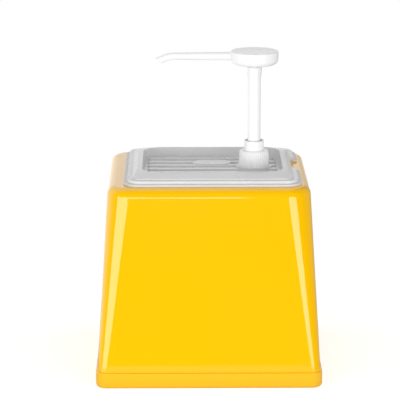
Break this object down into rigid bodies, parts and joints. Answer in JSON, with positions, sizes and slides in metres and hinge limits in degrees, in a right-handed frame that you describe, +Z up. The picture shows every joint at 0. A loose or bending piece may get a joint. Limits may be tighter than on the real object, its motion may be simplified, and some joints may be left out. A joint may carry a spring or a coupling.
{
  "type": "sauce pump dispenser",
  "caption": "Countertop sauce dispenser: tapered plastic housing on a base tray, lidded tub inside, and a press-down pump with a long turning spout.",
  "frame": {"origin": "middle of the base, on the surface it stands on", "axes": "+Z up, +X to the right as seen from the front (the spout points to -X as stored), +Y to the back"},
  "size_m": [0.2244, 0.2104, 0.3204],
  "materials": {
    "housing_yellow": "glossy moulded ABS, warm yellow",
    "lid_clear": "satin, slightly see-through grey-white polypropylene",
    "tub_white": "satin white polypropylene",
    "pump_white": "satin-gloss white polypropylene"
  },
  "bodies": {
    "stand": {"base_tray": "housing_yellow", "housing": "housing_yellow", "tub": "tub_white", "lid": "lid_clear", "barrel": "pump_white", "dip_tube": "pump_white", "screw_cap": "pump_white", "guide_sleeve": "pump_white"},
    "stem": {"plunger": "pump_white"},
    "spout_head": {"head": "pump_white"}
  },
  "joints": [
    {"name": "pump_stroke", "type": "slide", "parent": "stand", "child": "stem", "axis": [0, 0, -1], "range_m": [0, 0.055], "stiffness_N_per_m": 300, "springref_m": -0.03},
    {"name": "head_swivel", "type": "hinge", "parent": "stem", "child": "spout_head", "pos_m": [0.0465, 0, 0.311], "axis": [0, 0, 1], "continuous": true}
  ]
}
